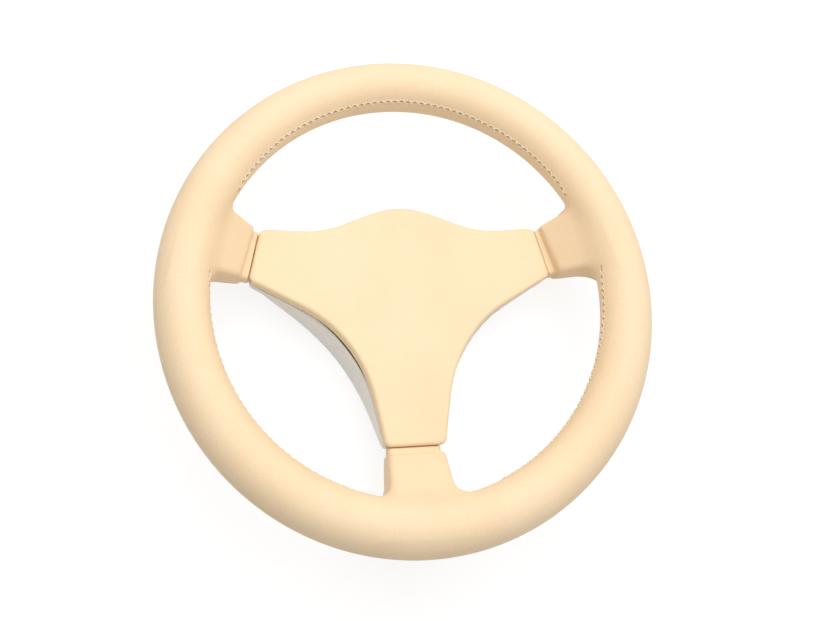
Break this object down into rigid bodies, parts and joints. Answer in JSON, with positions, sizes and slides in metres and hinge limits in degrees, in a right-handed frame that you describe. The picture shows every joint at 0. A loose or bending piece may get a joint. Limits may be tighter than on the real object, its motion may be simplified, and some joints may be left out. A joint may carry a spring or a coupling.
{
  "type": "car steering wheel",
  "caption": "Round car steering wheel with a leather-covered rim, a Y of dished spokes, a sprung horn pad over the hub, a rear shroud and a splined hub bore.",
  "frame": {"origin": "centre of the rear face of the shroud, on the axis of the steering column", "axes": "+Z along the column axis towards the driver, +Y to the top of the wheel, +X to the driver's right"},
  "size_m": [0.36, 0.36, 0.102],
  "materials": {
    "hub_steel": "turned steel",
    "casting": "as cast",
    "rivet_steel": "zinc plated",
    "ring_steel": "drawn steel",
    "foam": "moulded foam",
    "rim_leather": "soft grained leather",
    "shroud_plastic": "fine grain",
    "screw_steel": "black zinc",
    "cam_plastic": "satin",
    "contact_brass": "bright",
    "lead_insulation": "satin",
    "plated_steel": "passivated zinc",
    "insulation": "pressed fibre",
    "bush_plastic": "satin",
    "contact_copper": "bright",
    "spring_steel": "bright",
    "pad_skin": "soft moulded skin",
    "pin_steel": "ground"
  },
  "bodies": {
    "wheel": {"hub": "hub_steel", "armature": "casting", "rivets": "rivet_steel", "rim_core": "ring_steel", "rim_foam": "foam", "leather_wrap": "rim_leather", "rear_shroud": "shroud_plastic", "shroud_screws": "screw_steel", "cancel_cam": "cam_plastic", "slip_ring": "contact_brass", "horn_lead": "lead_insulation", "lead_terminal": "contact_brass", "contact_plate": "plated_steel", "plate_washers": "insulation", "guide_bushes": "bush_plastic", "fixed_contacts": "contact_copper", "horn_springs": "spring_steel"},
    "horn_pad": {"pad_cover": "pad_skin", "pad_insert": "plated_steel", "guide_pins": "pin_steel", "moving_contacts": "contact_copper"}
  },
  "joints": [
    {"name": "horn_press", "type": "slide", "parent": "wheel", "child": "horn_pad", "axis": [0, 0, 1], "range_m": [-0.002, 0], "stiffness_N_per_m": 6000, "springref_m": 0.002, "deforming": ["horn_springs"]}
  ]
}
